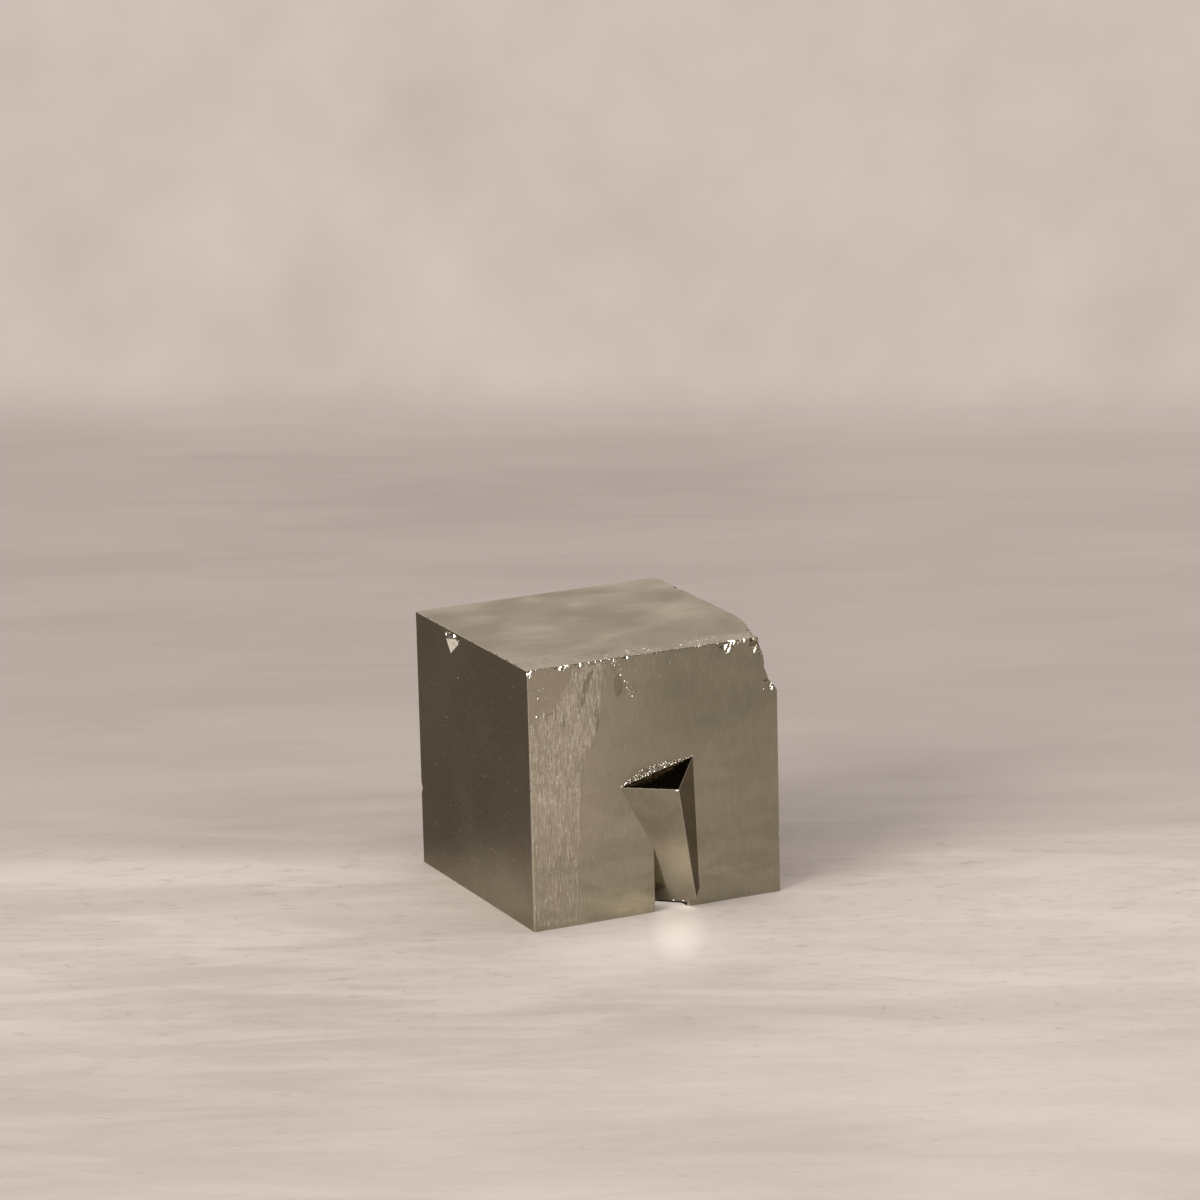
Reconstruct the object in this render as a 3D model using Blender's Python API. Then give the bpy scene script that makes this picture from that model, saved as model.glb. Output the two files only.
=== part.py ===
"""A pyrite specimen: one sharp cubic crystal with the corner of a second, tilted cube grown through its front face.

Frame: metres, +Z up, X to the right along the front face, Y to the back. The origin is the middle of the main crystal's
bottom face, which the specimen rests on.
"""

import math

import bmesh
import bpy
from mathutils import Matrix, Vector

MM = 0.001

# Main crystal: a cube whose three edges differ by a percent or two, as natural ones do.
WIDTH = 41.0 * MM
DEPTH = 40.5 * MM
HEIGHT = 40.0 * MM

# Second crystal: the corner that stands proud of the front face, and its three edge directions.
CORNER = Vector((0.79, -26.32, 20.39)) * MM
CORNER_OUT = 6.07 * MM  # how far the corner stands in front of the front face
EDGE_LEFT = Vector((-0.7421, 0.6698, -0.0246))  # from the corner, back to the left
EDGE_RIGHT = Vector((0.6254, 0.7052, 0.3339))  # from the corner, back to the right and up
BURIED_EDGE = 10.8 * MM  # length of those two edges, the far part of which is inside the main crystal
SECOND_BOTTOM = 0.8 * MM  # the second crystal ends this far above the resting plane
HEEL_CHIP = (Vector((4.45, -20.30, 0.80)), Vector((5.60, -21.70, 1.60)), Vector((6.55, -20.60, 2.30)))  # mm

# Cleft beside the second crystal, low on the front face: its left wall is a flat face across the width.
CLEFT_WALL_X = -0.58 * MM

CONTACT_GAP = 0.3 * MM  # clearance that the two solids keep

# Broken edge, top right: how far it runs back, in from the right, and down at the front.
BREAK_BACK = 16.3 * MM
BREAK_IN = 3.1 * MM
BREAK_DOWN = 8.7 * MM
BREAK_PROFILE = ((0.0, 1.0), (0.18, 0.90), (0.32, 0.76), (0.42, 0.70), (0.55, 0.69), (0.68, 0.56), (0.79, 0.46), (0.88, 0.28), (1.0, 0.0))
BREAK_ROWS, BREAK_COLUMNS = 22, 18

# Chips: centre of the mouth, the face's outward normal, half width, half height, depth (mm) and a twist (degrees).
CHIPS = {
    "chip_left_edge": ((-20.5, 6.9, 38.6), (-1, 0, 0), 2.6, 2.4, 1.0, 0.0),
    "chip_front_edge": ((12.6, -20.25, 39.6), (0, -1, 0), 1.5, 1.0, 0.8, 12.0),
    "chip_front_corner": ((17.0, -20.25, 38.6), (0, -1, 0), 0.9, 1.0, 0.9, -20.0),
}

BRASS = (0.62, 0.58, 0.49, 1.0)


def clear_scene():
    for obj in list(bpy.data.objects):
        bpy.data.objects.remove(obj, do_unlink=True)


def add_object(name, bm):
    bmesh.ops.recalc_face_normals(bm, faces=bm.faces)
    mesh = bpy.data.meshes.new(name)
    bm.to_mesh(mesh)
    bm.free()
    obj = bpy.data.objects.new(name, mesh)
    bpy.context.scene.collection.objects.link(obj)
    return obj


def metal(name, colour, roughness):
    material = bpy.data.materials.new(name)
    material.use_nodes = True
    shader = material.node_tree.nodes["Principled BSDF"]
    shader.inputs["Base Color"].default_value = colour
    shader.inputs["Metallic"].default_value = 1.0
    shader.inputs["Roughness"].default_value = roughness
    return material


def cut(obj, cutter):
    """Takes the cutter away from the object, and keeps the cutter as a hidden guide."""
    cutter.hide_render = True
    cutter.display_type = "WIRE"
    modifier = obj.modifiers.new(cutter.name, "BOOLEAN")
    modifier.operation = "DIFFERENCE"
    modifier.solver = "EXACT"
    modifier.object = cutter


def hull(name, points):
    bm = bmesh.new()
    for point in points:
        bm.verts.new(point)
    made = bmesh.ops.convex_hull(bm, input=bm.verts)
    spare = {v for v in made["geom_interior"] if isinstance(v, bmesh.types.BMVert)}
    bmesh.ops.delete(bm, geom=list(spare), context="VERTS")
    return add_object(name, bm)


def second_axes():
    """Square unit axes along the second crystal's edges: left, right and down from the corner."""
    left = EDGE_LEFT.normalized()
    down = -left.cross(EDGE_RIGHT).normalized()
    if down.z > 0:
        down = -down
    right = left.cross(down).normalized()
    if right.dot(EDGE_RIGHT) < 0:
        right = -right
    return left, right, down


def second_block(name, grow, bottom):
    """The second crystal's square prism, with every side moved out by `grow`, cut level at `bottom` and by its slanting heel."""
    left, right, down = second_axes()
    long = 40 * MM
    bm = bmesh.new()
    bmesh.ops.create_cube(bm, size=1.0)
    size = (BURIED_EDGE + 2 * grow, BURIED_EDGE + 2 * grow, long)
    start = CORNER - (left + right + down) * grow
    turn = Matrix((left, right, down)).transposed()
    for vert in bm.verts:
        local = Vector(((vert.co.x + 0.5) * size[0], (vert.co.y + 0.5) * size[1], (vert.co.z + 0.5) * size[2]))
        vert.co = start + turn @ local
    slice_off(bm, Vector((0, 0, bottom)), Vector((0, 0, -1)))
    a, b, c = (Vector(point) * MM for point in HEEL_CHIP)
    outward = (b - a).cross(c - a).normalized()
    if outward.dot(CORNER + down * long - a) < 0:
        outward = -outward
    slice_off(bm, a + outward * grow, outward)
    return add_object(name, bm)


def slice_off(bm, point, outward):
    """Cuts the solid with a plane, drops what is on the outward side, and closes the cut with one face."""
    everything = bm.verts[:] + bm.edges[:] + bm.faces[:]
    bmesh.ops.bisect_plane(bm, geom=everything, dist=1e-9, plane_co=point, plane_no=outward, clear_outer=True)
    bmesh.ops.holes_fill(bm, edges=[e for e in bm.edges if e.is_boundary], sides=0)


def main_block():
    bm = bmesh.new()
    bmesh.ops.create_cube(bm, size=1.0)
    bmesh.ops.scale(bm, vec=(WIDTH, DEPTH, HEIGHT), verts=bm.verts)
    bmesh.ops.translate(bm, vec=(0, 0, HEIGHT / 2), verts=bm.verts)
    return add_object("main_crystal", bm)


def break_depth(y, z):
    """How far in from the right face the broken surface lies, less than zero where nothing broke away."""
    back = (-DEPTH / 2 + BREAK_BACK - y) / BREAK_BACK
    if back <= 0:
        return 1.2 * MM * max(back, -1)
    reach = BREAK_DOWN * min(back, 1.1) ** 0.75
    down = (HEIGHT - z) / reach
    if down >= 1:
        return -1.0 * MM * min(down - 1, 1)
    share = 1.0
    for (v0, s0), (v1, s1) in zip(BREAK_PROFILE, BREAK_PROFILE[1:]):
        if v0 <= down <= v1:
            share = s0 + (s1 - s0) * (down - v0) / (v1 - v0)
    ripple = 0.05 * math.sin(9 * back + 5 * down) * share
    return BREAK_IN * min(back, 1.1) ** 1.6 * (share + ripple)


def break_cutter():
    """A block outside the right face whose inner side is the broken surface, as a grid over Y and Z."""
    bm = bmesh.new()
    y0, y1 = -DEPTH / 2 - 1.5 * MM, -DEPTH / 2 + BREAK_BACK + 2.5 * MM
    z0, z1 = HEIGHT - BREAK_DOWN - 2.5 * MM, HEIGHT + 1.5 * MM
    far = WIDTH / 2 + 4 * MM
    inner, outer = [], []
    for i in range(BREAK_ROWS + 1):
        y = y0 + (y1 - y0) * i / BREAK_ROWS
        inner.append([])
        outer.append([])
        for j in range(BREAK_COLUMNS + 1):
            z = z0 + (z1 - z0) * j / BREAK_COLUMNS
            inner[i].append(bm.verts.new((WIDTH / 2 - break_depth(y, z), y, z)))
            outer[i].append(bm.verts.new((far, y, z)))
    for i in range(BREAK_ROWS):
        for j in range(BREAK_COLUMNS):
            for grid in (inner, outer):
                bm.faces.new((grid[i][j], grid[i + 1][j], grid[i + 1][j + 1], grid[i][j + 1]))
    for i in range(BREAK_ROWS):
        for j in (0, BREAK_COLUMNS):
            bm.faces.new((inner[i][j], inner[i + 1][j], outer[i + 1][j], outer[i][j]))
    for j in range(BREAK_COLUMNS):
        for i in (0, BREAK_ROWS):
            bm.faces.new((inner[i][j], inner[i][j + 1], outer[i][j + 1], outer[i][j]))
    bmesh.ops.triangulate(bm, faces=bm.faces)
    return add_object("cut_broken_edge", bm)


def cleft_cutter():
    """A wedge between the cleft's wall and the second crystal's left face, run out past the front and the bottom."""
    left, right, down = second_axes()
    normal = -right  # outward normal of the second crystal's left face

    def face_x(y, z):
        return CORNER.x - (normal.y * (y - CORNER.y) + normal.z * (z - CORNER.z)) / normal.x

    def face_y(x, z):
        return CORNER.y - (normal.x * (x - CORNER.x) + normal.z * (z - CORNER.z)) / normal.y

    front, low = -DEPTH / 2 - 2 * MM, -2 * MM
    top = CORNER.z - (normal.x * (CLEFT_WALL_X - CORNER.x) + normal.y * (front - CORNER.y)) / normal.z
    return hull(
        "cut_cleft",
        [
            (CLEFT_WALL_X, front, top),
            (CLEFT_WALL_X, front, low),
            (face_x(front, low), front, low),
            (CLEFT_WALL_X, face_y(CLEFT_WALL_X, low), low),
        ],
    )


def chip_cutter(name, centre, normal, half_width, half_height, depth, twist):
    """A shallow six-sided bowl, deepest near its top, whose mouth lies just outside the face."""
    normal = Vector(normal)
    up = Vector((0, 0, 1))
    across = up.cross(normal)
    turn = Matrix.Rotation(math.radians(twist), 3, normal)
    centre = Vector(centre) * MM
    points = []
    for k in range(6):
        angle = math.radians(60 * k + 30)
        reach = 1.0 if k in (0, 2, 3) else 0.82
        side = turn @ (across * math.cos(angle) * half_width + up * math.sin(angle) * half_height) * reach * MM
        points.append(centre + side * 1.25 + normal * 0.6 * MM)
        points.append(centre + side * 0.55 - normal * depth * 0.55 * MM)
    points.append(centre + turn @ up * 0.25 * half_height * MM - normal * depth * MM)
    return hull(name, points)


def main():
    clear_scene()

    crystal = main_block()
    cut(crystal, second_block("cut_socket", CONTACT_GAP, -3 * MM))
    cut(crystal, cleft_cutter())
    cut(crystal, break_cutter())
    for name, chip in CHIPS.items():
        cut(crystal, chip_cutter(name, *chip))
    crystal.data.materials.append(metal("pyrite_main", BRASS, 0.22))

    second = second_block("intergrown_crystal", 0.0, SECOND_BOTTOM)
    second.data.materials.append(metal("pyrite_second", BRASS, 0.18))


main()
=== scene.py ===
"""Looks of the pyrite specimen: the main cube and the second cube's corner, in a plain pale studio."""

import math
import random

import bmesh
import bpy
import numpy as np
from mathutils import Matrix, Vector, noise


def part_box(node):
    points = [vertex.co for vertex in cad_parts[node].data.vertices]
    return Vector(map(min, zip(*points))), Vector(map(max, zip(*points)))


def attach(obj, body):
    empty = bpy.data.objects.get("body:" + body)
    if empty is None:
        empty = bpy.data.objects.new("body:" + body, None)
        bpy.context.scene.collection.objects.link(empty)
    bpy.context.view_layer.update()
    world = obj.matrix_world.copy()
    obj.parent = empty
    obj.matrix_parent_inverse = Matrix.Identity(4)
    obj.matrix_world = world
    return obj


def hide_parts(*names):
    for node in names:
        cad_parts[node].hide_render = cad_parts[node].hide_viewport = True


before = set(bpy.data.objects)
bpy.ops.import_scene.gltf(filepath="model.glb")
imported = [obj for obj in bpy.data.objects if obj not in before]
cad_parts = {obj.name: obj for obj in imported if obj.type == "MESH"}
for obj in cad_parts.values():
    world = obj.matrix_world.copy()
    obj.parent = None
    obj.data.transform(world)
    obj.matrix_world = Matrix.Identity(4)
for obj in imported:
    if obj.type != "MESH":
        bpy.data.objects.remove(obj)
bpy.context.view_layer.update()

MM = 0.001

# ---------------------------------------------------------------- sizes, in millimetres, as in the CAD
lo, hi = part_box("main_crystal")
W, D, H = [(hi[i] - lo[i]) / MM for i in range(3)]
XR, YF, ZT = W / 2, -D / 2, H
CORNER = Vector((0.79, -26.32, 20.39))
LEFT = Vector((-0.7421, 0.6698, -0.0246)).normalized()
DOWN = -LEFT.cross(Vector((0.6254, 0.7052, 0.3339))).normalized()
if DOWN.z > 0:
    DOWN = -DOWN
RIGHT = LEFT.cross(DOWN).normalized()
if RIGHT.x < 0:
    RIGHT = -RIGHT
CLEFT_X = -0.58
SECOND_BOTTOM = 0.8
HEEL = (Vector((4.45, -20.30, 0.80)), Vector((5.60, -21.70, 1.60)), Vector((6.55, -20.60, 2.30)))


def smooth(a, b, x):
    t = min(max((x - a) / (b - a), 0.0), 1.0)
    return t * t * (3 - 2 * t)


def along(points, x):
    """Straight-line reading of a list of (x, value), held at its ends."""
    if x <= points[0][0]:
        return points[0][1]
    for (a, va), (b, vb) in zip(points, points[1:]):
        if x <= b:
            return va + (vb - va) * (x - a) / (b - a)
    return points[-1][1]


# ---------------------------------------------------------------- mesh helpers
def link(name, bm, scale=MM, smooth_faces=False):
    mesh = bpy.data.meshes.new(name)
    bmesh.ops.recalc_face_normals(bm, faces=bm.faces)
    bm.to_mesh(mesh)
    bm.free()
    if scale != 1:
        mesh.transform(Matrix.Scale(scale, 4))
    obj = bpy.data.objects.new(name, mesh)
    bpy.context.scene.collection.objects.link(obj)
    if smooth_faces:
        mesh.shade_smooth()
    return obj


def add_hull(bm, points):
    """Adds the convex hull of these points to the bmesh."""
    part = bmesh.new()
    for p in points:
        part.verts.new(p)
    made = bmesh.ops.convex_hull(part, input=part.verts)
    spare = [v for v in part.verts if not v.link_faces]
    bmesh.ops.delete(part, geom=spare, context="VERTS")
    bmesh.ops.recalc_face_normals(part, faces=part.faces)
    index = {v: bm.verts.new(v.co) for v in part.verts}
    for f in part.faces:
        bm.faces.new([index[v] for v in f.verts])
    part.free()


def shard(bm, rng, centre, radii, count=11, axes=None):
    """A random faceted lump round a centre."""
    points = []
    for k in range(count):
        z = -1 + 2 * (k + 0.5) / count
        a = k * 2.399963 + rng.uniform(-0.5, 0.5)
        r = math.sqrt(max(0.0, 1 - z * z))
        s = rng.uniform(0.72, 1.12)
        p = Vector((r * math.cos(a) * radii[0], r * math.sin(a) * radii[1], z * radii[2])) * s
        if axes is not None:
            p = axes @ p
        points.append(Vector(centre) + p)
    add_hull(bm, points)


GLINT = Vector((-0.68, -0.63, 0.37)).normalized()


def scoop(bm, rng, centre, radius, normal, outward, jitter=0.12):
    """A cutter that leaves one flat facet with this normal, open towards `outward`."""
    normal = (Vector(normal).normalized() + Vector((rng.gauss(0, jitter), rng.gauss(0, jitter), rng.gauss(0, jitter)))).normalized()
    outward = Vector(outward)
    side = normal.orthogonal().normalized()
    other = normal.cross(side)
    start = rng.uniform(0, 6.28)
    points = []
    for k in range(6):
        a = start + k * 1.0472 + rng.uniform(-0.3, 0.3)
        r = radius * rng.uniform(0.65, 1.2)
        p = Vector(centre) - outward * radius * 0.3 + side * r * math.cos(a) + other * r * math.sin(a)
        points += [p, p + outward * radius * 3 + (p - Vector(centre)) * 0.35]
    add_hull(bm, points)


def random_turn(rng, most=math.pi):
    axis = Vector((rng.gauss(0, 1), rng.gauss(0, 1), rng.gauss(0, 1))).normalized()
    return Matrix.Rotation(rng.uniform(-most, most), 3, axis)


def boolean(obj, cutter, operation="DIFFERENCE", self_cross=False):
    modifier = obj.modifiers.new("cut", "BOOLEAN")
    modifier.operation = operation
    modifier.solver = "EXACT"
    modifier.use_self = self_cross
    modifier.object = cutter
    bpy.context.view_layer.update()
    graph = bpy.context.evaluated_depsgraph_get()
    mesh = bpy.data.meshes.new_from_object(obj.evaluated_get(graph))
    obj.modifiers.clear()
    old = obj.data
    obj.data = mesh
    bpy.data.meshes.remove(old)
    bpy.data.objects.remove(cutter, do_unlink=True)


def slice_off(bm, point, outward):
    everything = bm.verts[:] + bm.edges[:] + bm.faces[:]
    bmesh.ops.bisect_plane(bm, geom=everything, dist=1e-7, plane_co=point, plane_no=outward, clear_outer=True)
    bmesh.ops.holes_fill(bm, edges=[e for e in bm.edges if e.is_boundary], sides=0)


# ---------------------------------------------------------------- main crystal
TOP_RIM = ((-20.3, 3.12), (-18.7, 2.98), (-15.5, 2.1), (-13.6, 1.47), (-9.7, 0.5), (-6.0, 0.05), (-4.0, 0.0))
FRONT_RIM = (
    (31.3, 0.0), (31.55, 0.12), (31.85, 0.27), (32.6, 0.92), (33.3, 1.48), (34.2, 1.76),
    (35.3, 2.2), (36.5, 2.19), (37.3, 2.38), (38.4, 2.81), (39.4, 3.09), (40.0, 3.12),
)


def facet_field(rng, low, high, count, slope, size):
    """Random tilted planes over a rectangle: reading it gives a surface of sharp, flat-floored facets."""
    seeds = [
        (rng.uniform(low[0], high[0]), rng.uniform(low[1], high[1]), rng.gauss(0, slope), rng.gauss(0, slope), rng.uniform(-size, size))
        for _ in range(count)
    ]
    seeds = np.array(seeds)

    def read(a, b):
        near = (seeds[:, 0] - a) ** 2 + (seeds[:, 1] - b) ** 2
        pick = np.argsort(near)[:5]
        s = seeds[pick]
        heights = s[:, 2] * (a - s[:, 0]) + s[:, 3] * (b - s[:, 1]) + s[:, 4] + np.sqrt(near[pick]) * 0.12
        return float(heights.min())

    return read


def break_depth(y, z, field):
    back = (-4.0 - y) / 16.3
    if back <= 0:
        return -1.2 * min(-back, 1)
    reach = 8.7 * min(back, 1.1) ** 0.75
    down = (ZT - z) / reach
    if down >= 1:
        return -1.0 * min(down - 1, 1)
    share = along(FRONT_RIM, ZT - 8.7 * max(down, 0)) / 3.12
    base = along(TOP_RIM, y)
    inside = smooth(0.15, 1.2, y - YF) * smooth(0.15, 1.2, ZT - z)
    return base * share + inside * min(base * share, 0.8) * field(y, z)


def break_cutter(rng):
    large = facet_field(rng, (-22, 28), (-1, 42), 70, 0.42, 0.30)
    small = facet_field(rng, (-22, 28), (-1, 42), 620, 0.40, 0.07)

    def field(y, z):
        # broad facets, finer ones on them, and the faint ribs of a shell-like break
        ribs = 0.05 * math.sin(3.1 * math.hypot(y + 19.0, z - 41.0) + 0.8 * math.sin(0.9 * y))
        return max(0.50 + 0.55 * (large(y, z) + 0.8 * small(y, z)) + ribs, 0.04 * math.sin(2.0 * y + 1.3 * z) + 0.05)

    bm = bmesh.new()
    rows, columns = 132, 82
    y0, y1, z0, z1, far = -21.8, -1.0, 28.9, 41.6, XR + 4
    grid = []
    for i in range(rows + 1):
        y = y0 + (y1 - y0) * i / rows
        grid.append([])
        for j in range(columns + 1):
            z = z0 + (z1 - z0) * j / columns
            grid[i].append(bm.verts.new((XR - break_depth(y, z, field), y, z)))
    for i in range(rows):
        for j in range(columns):
            bm.faces.new((grid[i][j], grid[i + 1][j], grid[i + 1][j + 1]))
            bm.faces.new((grid[i][j], grid[i + 1][j + 1], grid[i][j + 1]))
    corner = {(a, b): bm.verts.new((far, (y0, y1)[a], (z0, z1)[b])) for a in (0, 1) for b in (0, 1)}
    bm.faces.new([grid[i][0] for i in range(rows + 1)] + [corner[1, 0], corner[0, 0]])
    bm.faces.new([grid[i][columns] for i in range(rows + 1)] + [corner[1, 1], corner[0, 1]])
    bm.faces.new([grid[0][j] for j in range(columns + 1)] + [corner[0, 1], corner[0, 0]])
    bm.faces.new([grid[rows][j] for j in range(columns + 1)] + [corner[1, 1], corner[1, 0]])
    bm.faces.new((corner[0, 0], corner[1, 0], corner[1, 1], corner[0, 1]))
    return link("cut_break", bm, scale=1)


def cleft_cutter():
    """The narrow wedge beside the second crystal, cut a little way into where the second crystal stands."""
    normal = -RIGHT
    inset = 0.35
    on = CORNER - normal * inset

    def face_x(y, z):
        return on.x - (normal.y * (y - on.y) + normal.z * (z - on.z)) / normal.x

    def face_y(x, z):
        return on.y - (normal.x * (x - on.x) + normal.z * (z - on.z)) / normal.y

    front, low = YF - 2, -2
    true_top = CORNER.z - (normal.x * (CLEFT_X - CORNER.x) + normal.y * (YF - CORNER.y)) / normal.z
    top = on.z - (normal.x * (CLEFT_X - on.x) + normal.y * (front - on.y)) / normal.z
    bm = bmesh.new()
    add_hull(
        bm,
        [
            Vector((CLEFT_X, front, top)),
            Vector((CLEFT_X, front, low)),
            Vector((face_x(front, low), front, low)),
            Vector((CLEFT_X, face_y(CLEFT_X, low), low)),
        ],
    )
    # nothing is cut above the point where the cleft's wall meets the second crystal's face
    slice_off(bm, Vector((0, 0, true_top + 0.12)), Vector((0, 0, 1)))
    # the gap under the raised second crystal
    add_hull(bm, [Vector((x, y, z)) for x in (CLEFT_X + 0.3, 4.9) for y in (YF - 1, YF + 6.3) for z in (-1.0, 0.72)])
    return link("cut_cleft", bm, scale=1)


def chips(rng):
    """Every chip and bruise as one set of faceted cutters."""
    bm = bmesh.new()
    front = YF
    ahead, above, aside = Vector((0, -1, 0)), Vector((0, 0, 1)), Vector((-1, 0, 0))
    dull = Vector((-0.1, -0.55, 0.83))
    # along the upper front edge: x, z, radius, and whether the facet catches the window
    for x, z, r, bright in (
        (-15.75, 39.75, 0.42, 0), (-15.15, 39.72, 0.36, 1), (-14.75, 39.45, 0.34, 0), (-14.35, 39.78, 0.46, 1), (-13.85, 39.9, 0.26, 1),
        (-12.35, 39.75, 0.30, 0), (-11.9, 39.72, 0.34, 1), (-10.5, 39.92, 0.22, 1), (-10.0, 39.9, 0.26, 1), (-9.4, 39.93, 0.24, 1),
        (-8.5, 39.95, 0.16, 1), (-6.5, 39.7, 0.24, 1), (-6.2, 39.4, 0.16, 1), (-4.55, 39.85, 0.26, 0), (-4.2, 39.85, 0.22, 1),
        (0.6, 39.98, 0.12, 1), (3.4, 39.98, 0.12, 0), (8.9, 39.95, 0.16, 0),
        (11.35, 39.45, 0.62, 0), (11.1, 38.95, 0.3, 0), (12.0, 39.35, 0.44, 1), (12.5, 38.78, 0.40, 1), (12.1, 38.3, 0.22, 1),
        (12.75, 39.6, 0.46, 1), (13.2, 39.15, 0.34, 0), (13.35, 39.75, 0.42, 1), (14.0, 39.6, 0.36, 1), (14.45, 39.88, 0.24, 1),
        (15.1, 39.85, 0.26, 1), (15.7, 39.95, 0.16, 1), (16.2, 39.55, 0.5, 0), (16.7, 39.0, 0.62, 0), (17.2, 38.7, 0.5, 0),
        (16.85, 38.2, 0.36, 1), (17.35, 37.95, 0.30, 1), (17.6, 37.5, 0.3, 0), (18.3, 36.4, 0.24, 0), (18.62, 33.15, 0.40, 0),
        (19.0, 32.9, 0.3, 0), (19.3, 32.4, 0.42, 1), (19.55, 31.9, 0.34, 1), (19.9, 32.2, 0.3, 0), (18.2, 31.9, 0.1, 1),
        (-20.35, 39.55, 0.34, 1), (-20.0, 39.7, 0.3, 1), (-20.1, 39.15, 0.26, 1), (-19.5, 39.85, 0.18, 1),
    ):
        scoop(bm, rng, (x, front, z), r * (1.35 if x > 10 else 1.2), GLINT if bright else dull, ahead, 0.10)
    # worn crest of the upper front edge
    for k in range(120):
        x = -20.2 + 12.5 * rng.random() if k < 75 else rng.uniform(-8, 16)
        scoop(bm, rng, (x, front + 0.02, 39.97), rng.uniform(0.05, 0.13), GLINT if rng.random() < 0.7 else dull, ahead, 0.25)
    # the speckled rim of the oval scar
    for k in range(84):
        t = k / 83
        x = -6.5 + 3.0 * t ** 1.3 + rng.gauss(0, 0.34)
        z = 39.4 - 5.2 * t ** 1.1 + rng.gauss(0, 0.36)
        scoop(bm, rng, (x, front, z), rng.uniform(0.05, 0.14), GLINT if rng.random() < 0.65 else dull, ahead, 0.2)
    for x, z in ((-19.3, 37.1), (-18.6, 37.0), (-18.0, 36.95), (-18.9, 35.6), (-18.3, 35.5), (-17.7, 35.55), (-17.2, 35.5), (-19.2, 32.9)):
        scoop(bm, rng, (x, front, z), rng.uniform(0.10, 0.20), GLINT, ahead, 0.15)
    # fine bruises on the top face, just behind its front edge
    for _ in range(210):
        x, y = rng.uniform(-8, 12), front + rng.random() ** 1.4 * 4.0
        scoop(bm, rng, (x, y, ZT), rng.uniform(0.07, 0.19), GLINT + Vector((0, 0, 0.25)), above, 0.25)
    for x, y, r in ((9.3, -16.0, 0.16), (-13.5, -12.0, 0.1), (4.0, -11.0, 0.1), (-2.0, 1.0, 0.1), (12.0, -17.6, 0.12), (-16.0, 4.0, 0.1)):
        scoop(bm, rng, (x, y, ZT), r, GLINT, above, 0.2)
    # specks scattered on the faces
    for x, z, r in ((-13.0, 17.0, 0.13), (-10.9, 19.5, 0.14), (-20.4, 21.8, 0.16), (-19.2, 36.9, 0.14), (-18.6, 36.6, 0.16),
                    (-18.9, 35.2, 0.16), (-18.2, 35.3, 0.14), (-3.1, 34.5, 0.16), (-5.2, 33.4, 0.15), (6.0, 33.5, 0.1)):
        shard(bm, rng, (x, front, z), (r, r * 0.8, r), 9)
    for y, z, r in ((4.88, 33.1, 0.34), (-14.15, 34.6, 0.17), (-17.5, 28.6, 0.12), (-15.4, 2.9, 0.12), (-17.9, 27.0, 0.09),
                    (-16.5, 24.0, 0.08), (9.0, 12.0, 0.1), (-3.0, 8.0, 0.1)):
        shard(bm, rng, (-XR - r * 0.35, y, z), (r * 0.8, r, r), 10)
    # the arrow-shaped chip under the upper left edge
    deep = -XR
    add_hull(bm, [Vector(p) for p in (
        (deep - 0.6, 9.6, 38.6), (deep, 8.85, 38.3), (deep - 0.5, 7.5, 35.9), (deep, 7.3, 36.35), (deep - 0.5, 3.9, 38.3), (deep, 4.3, 38.4),
        (deep - 0.5, 5.0, 39.3), (deep + 1.3, 6.2, 38.45), (deep + 0.28, 5.0, 38.6), (deep - 0.5, 8.0, 39.5))])
    for y, z, r, normal in (
        (9.2, 39.4, 0.40, (-0.45, -0.2, 0.87)), (8.5, 39.3, 0.55, (-0.5, -0.25, 0.83)), (7.6, 39.35, 0.6, (-0.6, 0.3, 0.75)),
        (6.7, 39.4, 0.5, (-0.45, -0.3, 0.84)), (5.9, 39.3, 0.4, (-0.68, -0.63, 0.37)), (5.3, 39.3, 0.4, (-0.5, 0.1, 0.85)),
        (8.9, 39.0, 0.28, (-0.68, -0.63, 0.37)), (4.6, 38.5, 0.3, (-0.68, -0.63, 0.37)), (4.2, 38.9, 0.25, (-0.5, -0.2, 0.85)),
        (9.7, 39.7, 0.25, (-0.4, -0.1, 0.9)), (5.0, 39.8, 0.3, (-0.4, 0.1, 0.9)), (7.2, 39.9, 0.35, (-0.3, 0.1, 0.95)),
    ):
        scoop(bm, rng, (deep, y, z), r, normal, aside, 0.08)
    for y, rx, ry, rz in ((-7.3, 0.22, 0.4, 0.16), (-8.4, 0.28, 0.6, 0.2), (-9.4, 0.25, 0.5, 0.18), (-10.3, 0.2, 0.35, 0.15),
                          (-13.0, 0.24, 0.5, 0.16), (-14.1, 0.2, 0.4, 0.14), (-17.0, 0.16, 0.3, 0.12), (2.5, 0.16, 0.3, 0.12)):
        shard(bm, rng, (-XR + 0.05, y, 40.02), (rx, ry, rz), 10)
    # the small dark pit by the broken edge on the top face
    shard(bm, rng, (18.0, -15.9, 40.0), (0.6, 0.42, 0.35), 11)
    for x, y, r in ((17.2, -18.2, 0.3), (17.0, -19.2, 0.35), (17.6, -17.4, 0.25), (18.6, -14.2, 0.2)):
        scoop(bm, rng, (x, y, ZT), r, (0.75, -0.2, 0.6), above, 0.2)
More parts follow.
